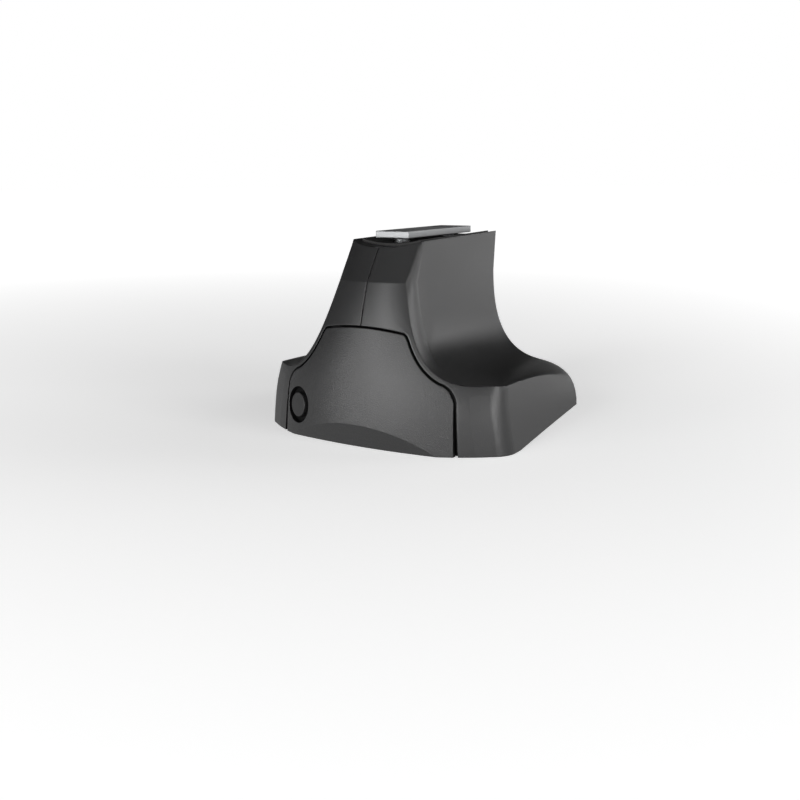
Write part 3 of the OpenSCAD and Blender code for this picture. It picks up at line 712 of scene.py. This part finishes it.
# How far the edges of the machined and pressed pieces are broken, in millimetres.
ROUNDED = {
    "lock_core": 0.25,
    "lock_sleeve": 0.2,
    "lock_tongue": 0.3,
    "lock_nut": 0.3,
    "steel_frame": 0.3,
    "base_plate": 0.4,
    "base_screws": 0.2,
    "frame_bolts": 0.3,
    "frame_nuts": 0.35,
    "screw_washer": 0.2,
    "screw_bush": 0.25,
    "carriage": 0.4,
    "hanger": 0.3,
    "hanger_pins": 0.4,
    "hook_pegs": 0.4,
    "clamp_plate": 0.45,
    "clamp_washers": 0.2,
    "clamp_nut_front": 0.35,
    "clamp_nut_rear": 0.35,
}
THREADED = ("clamp_bolts", "tension_screw")
SCREW_EDGE = 0.3
EDGE_SEGMENTS = 2

# Faces that meet at less than the first angle are joined, and edges sharper than the second
# are broken. The third is the fittings' smoothing angle.
FLAT_ANGLE = math.radians(1.0)
SHARP_ANGLE = math.radians(40)
FITTING_ANGLE = math.radians(32)

# The thread. Its depth and its tooth are shares of the pitch, each point of the tooth at the
# root (0) or the crest (1). The rod's low end is cut between two of the wound points, so that
# the cut closes cleanly. A rod reaches a little way into the plain piece that it joins, and
# the bolts' heads are kept down to just above the clamp plate's underside.
THREAD_RADIUS = 3.93 * MM
THREAD_DEPTH = 0.61
TOOTH = ((0, 0.0), (0, 0.14), (1, 0.51), (1, 0.63), (0, 1.0))
STEPS_A_TURN = 28
SPARE_TURNS = 4
FIRST_CUT = 1.513
THREAD_WELD = 0.001 * MM
HEAD_CUT = 0.07 * MM
ROD_LAP = 0.3 * MM
PLAIN_SHANK = 1.5 * MM


def finish_fitting(piece, node):
    """Gives a fitting the finish and the body of the solid that it stands for, and hides that
    solid.
    """
    body = body_of(NODES[node])[0]
    finish_piece(piece, body, FINISH_OF[node], [node], FITTING_ANGLE)


def round_edges(obj, width):
    """Joins the flat faces of a machined piece and breaks its sharp edges."""
    edited(obj, (bpy.ops.mesh.dissolve_limited, {"angle_limit": FLAT_ANGLE}))
    modified(
        obj,
        "broken edges",
        "BEVEL",
        width=width * MM,
        segments=EDGE_SEGMENTS,
        limit_method="ANGLE",
        angle_limit=SHARP_ANGLE,
    )


def threaded_rod(name, start, end, pitch):
    """A closed rod with a real thread: one tooth wound round its axis, cut square at both ends."""
    mesh = bpy.data.meshes.new(name)
    root = THREAD_RADIUS - THREAD_DEPTH * pitch
    points = [(THREAD_RADIUS if crest else root, 0.0, rise * pitch) for crest, rise in TOOTH]
    mesh.from_pydata(points, [(i, i + 1) for i in range(len(TOOTH) - 1)], [])
    rod = linked(name, mesh)
    only(rod)
    along = Vector(end) - Vector(start)
    modified(
        rod,
        "thread",
        "SCREW",
        screw_offset=pitch,
        iterations=int(along.length / pitch) + SPARE_TURNS,
        steps=STEPS_A_TURN,
        render_steps=STEPS_A_TURN,
        use_merge_vertices=True,
        merge_threshold=THREAD_WELD,
    )
    low = FIRST_CUT * pitch
    edited(
        rod,
        merge(THREAD_WELD),
        cut((0, 0, low), (0, 0, 1), clear_inner=True),
        cut((0, 0, low + along.length), (0, 0, 1), clear_outer=True),
        merge(THREAD_WELD),
        (bpy.ops.mesh.fill_holes, {"sides": 0}),
        outwards(),
    )
    turn = along.to_track_quat("Z", "Y").to_matrix().to_4x4()
    mesh.transform(Matrix.Translation(start) @ turn @ Matrix.Translation((0, 0, -low)))
    return rod


def cut_away(obj, place, direction):
    """Takes off what lies behind a plane and closes the cut."""
    edited(obj, cut(place, direction, use_fill=True, clear_inner=True), outwards())


class ThreadsOperator(bpy.types.Operator):
    """Makes the tension screw and the two clamp bolts, with their threads."""

    bl_idname = "rooffoot.threads"
    bl_label = "Threads"

    def execute(self, context):
        pitch = settings("metal").pitch
        low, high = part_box("clamp_bolts")
        half_head = (high[0] - low[0]) / 2
        head_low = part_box("clamp_plate")[0][2]
        bolts = merged_copy("clamp_bolts", "clamp_bolts_shape")
        cut_away(bolts, (0, 0, head_low + HEAD_CUT), (0, 0, 1))
        ends = (("front", low[1] + half_head), ("rear", high[1] - half_head))
        top = head_low + ROD_LAP
        join(
            bolts,
            [threaded_rod(f"bolt_{end}", (0, y, low[2]), (0, y, top), pitch) for end, y in ends],
        )
        finish_fitting(bolts, "clamp_bolts")

        low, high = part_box("tension_screw")
        height = (low[2] + high[2]) / 2
        plain_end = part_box("screw_clip")[1][1] + PLAIN_SHANK
        screw = merged_copy("tension_screw", "tension_screw_shape")
        cut_away(screw, (0, plain_end, 0), (0, -1, 0))
        round_edges(screw, SCREW_EDGE)
        start, end = (0, plain_end - ROD_LAP, height), (0, high[1], height)
        join(screw, [threaded_rod("screw_thread", start, end, pitch)])
        finish_fitting(screw, "tension_screw")
        return {"FINISHED"}


class SolidsOperator(bpy.types.Operator):
    """Finishes the lock, the fittings and the steelwork, the machined ones with broken edges."""

    bl_idname = "rooffoot.solids"
    bl_label = "Solids"

    def execute(self, context):
        for node, finish in FINISH_OF.items():
            if node in THREADED:
                continue
            if node in ROUNDED:
                piece = merged_copy(node, f"{node}_shape")
                round_edges(piece, ROUNDED[node])
                finish_fitting(piece, node)
                continue
            for slot in NODES[node].material_slots:
                slot.link = "OBJECT"
                slot.material = bpy.data.materials[finish]
        return {"FINISHED"}


class HousingOperator(bpy.types.Operator):
    """Makes the two moulded halves of the housing."""

    bl_idname = "rooffoot.housing"
    bl_label = "Housing"

    def execute(self, context):
        ridge_angle = settings("moulding").ridge_angle
        for side in ("left", "right"):
            node = f"housing_{side}"
            shell = merged_copy(node, f"housing_shell_{side}")
            finish_piece(shell, "foot", "housing_plastic", [node], ridge_angle)
            # The walls of the cover's pocket and of the hollow behind it, and the ledge, take a
            # near-black: painted shade in the gaps round the cover.
            shell.data.materials.append(bpy.data.materials["painted_shade_plastic"])
            for face in shell.data.polygons:
                face.material_index = int(in_pocket(face))
        return {"FINISHED"}


SEAM_LOW, SEAM_HIGH = 56.5 * MM, 84 * MM
SEAM_WIDTH = 2 * MM
SEAM_THICKNESS = 0.6 * MM
SEAM_BEHIND = 0.9 * MM
SEAM_STEPS = 24


class SeamOperator(bpy.types.Operator):
    """Makes the lap that closes the seam between the two halves of the housing."""

    bl_idname = "rooffoot.seam"
    bl_label = "Seam"

    def execute(self, context):
        bpy.ops.object.select_all(action="DESELECT")
        bpy.ops.mesh.primitive_grid_add(
            x_subdivisions=2, y_subdivisions=SEAM_STEPS, size=1.0, location=(0.0, 0.0, 0.0)
        )
        lap = context.object
        lap.name = lap.data.name = "seam_lap"
        for vertex in lap.data.vertices:
            height = SEAM_LOW + (vertex.co.y + 0.5) * (SEAM_HIGH - SEAM_LOW)
            depth = front_middle(height) + SEAM_BEHIND
            vertex.co = (vertex.co.x * SEAM_WIDTH, depth, height)
        modified(lap, "thickness", "SOLIDIFY", thickness=SEAM_THICKNESS, offset=0.0)
        edited(lap, outwards())
        # The lap takes the near-black of painted shade, so that the seam in front of it reads as a
        # dark gap.
        lap.data.materials.append(bpy.data.materials["painted_shade_plastic"])
        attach(lap, "foot")
        return {"FINISHED"}


class CoverOperator(bpy.types.Operator):
    """Makes the front cover."""

    bl_idname = "rooffoot.cover"
    bl_label = "Cover"

    def execute(self, context):
        smooth_angle = settings("moulding").smooth_angle
        shell = merged_copy("front_cover", "cover_shell")
        finish_piece(shell, "cover", "cover_plastic", ["front_cover"], smooth_angle)
        even_scoop(shell.data)
        # Faces of the cover off its front, save those that face well forwards, take a near-black:
        # painted shade on its sides and back.
        shell.data.materials.append(bpy.data.materials["painted_shade_plastic"])
        for face in shell.data.polygons:
            face.material_index = int(not is_front(face) and face.normal.y > COVER_INSIDE)
        return {"FINISHED"}


def shown_to_camera(tree):
    """Is 1 for what the camera sees, straight or through glass, and 0 for all other light."""
    paths = tree.nodes.new("ShaderNodeLightPath")
    camera, glass = paths.outputs["Is Camera Ray"], paths.outputs["Is Transmission Ray"]
    return math_node(tree, "ADD", camera, glass, clamp=True)


def bearing(azimuth, elevation, distance):
    """A place round the object, in degrees from the front towards +X and above the floor."""
    turn, rise = math.radians(azimuth), math.radians(elevation)
    level = distance * math.cos(rise)
    return (level * math.sin(turn), -level * math.cos(turn), distance * math.sin(rise))


def lamp(name, place, target, size, power):
    """A square lamp that looks at target."""
    data = bpy.data.lights.new(name, "AREA")
    data.shape = "RECTANGLE"
    data.size = data.size_y = size
    data.energy = power
    turn = (Vector(target) - Vector(place)).to_track_quat("-Z", "Y").to_matrix().to_4x4()
    linked(name, data).matrix_world = Matrix.Translation(place) @ turn


# Name, azimuth and elevation in degrees, and watts of the lamps, all at one distance.
LAMPS = (
    ("key_left", -27, 3, 5.8),
    ("key_right", 17, 3, 3.8),
    ("key_high", -5, 20, 3.6),
    ("side_low", 61, 3, 4.8),
    ("side_high", 83, 20, 2.9),
    ("far_side", 127, 20, 1.9),
    ("far_lamp", 149, 20, 0.9),
)
LAMP_DISTANCE = 1.1
LAMP_TARGET = (0.0, 0.0, 0.05)
LAMP_SIZE = 0.36

WHITE = (1.0, 1.0, 1.0, 1.0)
FLOOR_GREY = (0.8, 0.8, 0.8, 1.0)
FLOOR_ROUGHNESS = 0.8
FLOOR_SIZE = 30.0

# Where the floor pales for the camera and for reflections, by distance from the foot, and
# where the mirrored floor falls off to the left, by X. All in metres.
FLOOR_PALES = (0.1, 1.0)
MIRROR_PALES = (0.25, 0.5)
# The near floor glows less in reflections: painted shade, standing for the foot's shadow on it as
# reflections would show it.
NEAR_MIRRORED = 0.25
FLOOR_LEFT = (-0.7, -0.1)

# Where the world's light and its reflections change, by the height and the X of a direction
# of length 1.
SKY_FALLS = (0.0, 0.5)
HORIZON_BAND = (0.03, 0.13)
CEILING_STARTS = (0.6, 0.95)
SKY_LEFT = (-0.9, -0.2)

CAMERA_RIGHT = (0.8508, 0.5251, -0.0087)
CAMERA_UP = (-0.1133, 0.1997, 0.9733)
CAMERA_BACK = (0.5130, -0.8273, 0.2294)
SENSOR_WIDTH = 36.0


def floor_material(stage):
    """The floor: pale for the camera and in reflections, plain for light, clear from below."""
    material = bpy.data.materials.new("pale_floor")
    material.use_nodes = True
    tree = material.node_tree
    shader = tree.nodes["Principled BSDF"]
    shader.inputs["Base Color"].default_value = FLOOR_GREY
    shader.inputs["Roughness"].default_value = FLOOR_ROUGHNESS
    shader.inputs["Emission Color"].default_value = WHITE

    place = tree.nodes.new("ShaderNodeTexCoord").outputs["Object"]
    away = tree.nodes.new("ShaderNodeVectorMath")
    away.operation = "LENGTH"
    tree.links.new(place, away.inputs[0])
    distance = away.outputs["Value"]
    across = tree.nodes.new("ShaderNodeSeparateXYZ")
    tree.links.new(place, across.inputs["Vector"])
    mirror = tree.nodes.new("ShaderNodeLightPath").outputs["Is Glossy Ray"]
    # The mirrored floor is dimmer near the foot: painted shade, seen only in reflections.
    far_floor = ranged(tree, distance, MIRROR_PALES, (NEAR_MIRRORED, stage.floor_mirrored))
    left = ranged(tree, across.outputs["X"], FLOOR_LEFT, (stage.left_share, 1.0))
    mirrored = math_node(tree, "MULTIPLY", mirror, math_node(tree, "MULTIPLY", far_floor, left))
    paleness = ranged(tree, distance, FLOOR_PALES, (stage.floor_glow, 1.0))
    seen = math_node(tree, "MULTIPLY", shown_to_camera(tree), paleness)
    glow = math_node(tree, "MAXIMUM", seen, mirrored)
    tree.links.new(glow, shader.inputs["Emission Strength"])

    clear = tree.nodes.new("ShaderNodeBsdfTransparent")
    either = tree.nodes.new("ShaderNodeMixShader")
    below = tree.nodes.new("ShaderNodeNewGeometry").outputs["Backfacing"]
    hidden = math_node(tree, "MULTIPLY", below, shown_to_camera(tree))
    tree.links.new(hidden, either.inputs["Fac"])
    tree.links.new(shader.outputs["BSDF"], either.inputs[1])
    tree.links.new(clear.outputs["BSDF"], either.inputs[2])
    tree.links.new(either.outputs["Shader"], tree.nodes["Material Output"].inputs["Surface"])
    return material


def studio_world(stage):
    """The surround: white for the camera, a band and a ceiling in reflections, dim as light."""
    world = bpy.data.worlds.new("studio")
    world.use_nodes = True
    tree = world.node_tree
    background = tree.nodes["Background"]
    background.inputs["Color"].default_value = WHITE
    direction = tree.nodes.new("ShaderNodeTexCoord").outputs["Generated"]
    parts = tree.nodes.new("ShaderNodeSeparateXYZ")
    tree.links.new(direction, parts.inputs["Vector"])
    height = math_node(tree, "ABSOLUTE", parts.outputs["Z"])
    overhead = stage.overhead_strength
    falling = ranged(tree, height, SKY_FALLS, (stage.world_strength, overhead))
    band = ranged(tree, height, HORIZON_BAND, (stage.mirror_strength, overhead))
    left = ranged(tree, parts.outputs["X"], SKY_LEFT, (stage.left_share, 1.0))
    ceiling = ranged(tree, height, CEILING_STARTS, (0.0, stage.ceiling_strength))
    mirrored = math_node(tree, "ADD", math_node(tree, "MULTIPLY", band, left), ceiling)
    mirror = tree.nodes.new("ShaderNodeLightPath").outputs["Is Glossy Ray"]
    unseen = chosen(tree, mirror, falling, mirrored)
    strength = chosen(tree, shown_to_camera(tree), unseen, 1.0)
    tree.links.new(strength, background.inputs["Strength"])
    return world


class StageOperator(bpy.types.Operator):
    """Sets the pale floor, the studio lamps and the camera."""

    bl_idname = "rooffoot.stage"
    bl_label = "Stage"

    def execute(self, context):
        stage = settings("stage")
        scene = context.scene
        bpy.ops.object.select_all(action="DESELECT")
        bpy.ops.mesh.primitive_plane_add(size=FLOOR_SIZE, location=(0.0, 0.0, 0.0))
        floor = context.object
        floor.name = "floor"
        floor.data.materials.append(floor_material(stage))
        scene.world = studio_world(stage)
        for name, azimuth, elevation, watts in LAMPS:
            place = bearing(azimuth, elevation, LAMP_DISTANCE)
            lamp(name, place, LAMP_TARGET, LAMP_SIZE, watts * stage.lamp_level)
        data = bpy.data.cameras.new("camera")
        data.lens = stage.lens
        data.sensor_width = SENSOR_WIDTH
        camera = linked("camera", data)
        turn = Matrix((CAMERA_RIGHT, CAMERA_UP, CAMERA_BACK)).transposed().to_4x4()
        camera.matrix_world = Matrix.Translation(stage.camera_place) @ turn
        scene.camera = camera
        scene.view_settings.view_transform = "Standard"
        return {"FINISHED"}


class FootPanel(bpy.types.Panel):
    """Lists the steps that dress the foot."""

    bl_idname = "ROOFFOOT_PT_panel"
    bl_label = "Roof bar foot"
    bl_space_type = "VIEW_3D"
    bl_region_type = "UI"
    bl_category = "Roof foot"

    def draw(self, context):
        for step in STEPS:
            self.layout.operator(step)
        for name in GROUPS:
            holder = settings(name)
            for field in holder.bl_rna.properties.keys():
                if field not in ("rna_type", "name"):
                    self.layout.prop(holder, field)


STEPS = (
    "rooffoot.finishes",
    "rooffoot.solids",
    "rooffoot.threads",
    "rooffoot.housing",
    "rooffoot.seam",
    "rooffoot.cover",
    "rooffoot.stage",
)
CLASSES = (
    MouldingSettings,
    MetalSettings,
    StageSettings,
    FinishesOperator,
    SolidsOperator,
    ThreadsOperator,
    HousingOperator,
    SeamOperator,
    CoverOperator,
    StageOperator,
    FootPanel,
)
GROUPS = {"moulding": MouldingSettings, "metal": MetalSettings, "stage": StageSettings}


def register():
    for item in CLASSES:
        bpy.utils.register_class(item)
    for name, group in GROUPS.items():
        setattr(bpy.types.Scene, name, bpy.props.PointerProperty(type=group))


def unregister():
    for name in GROUPS:
        delattr(bpy.types.Scene, name)
    for item in reversed(CLASSES):
        bpy.utils.unregister_class(item)


def main():
    register()
    bpy.ops.rooffoot.finishes()
    bpy.ops.rooffoot.solids()
    bpy.ops.rooffoot.threads()
    bpy.ops.rooffoot.housing()
    bpy.ops.rooffoot.seam()
    bpy.ops.rooffoot.cover()
    bpy.ops.rooffoot.stage()


if __name__ == "__main__":
    main()
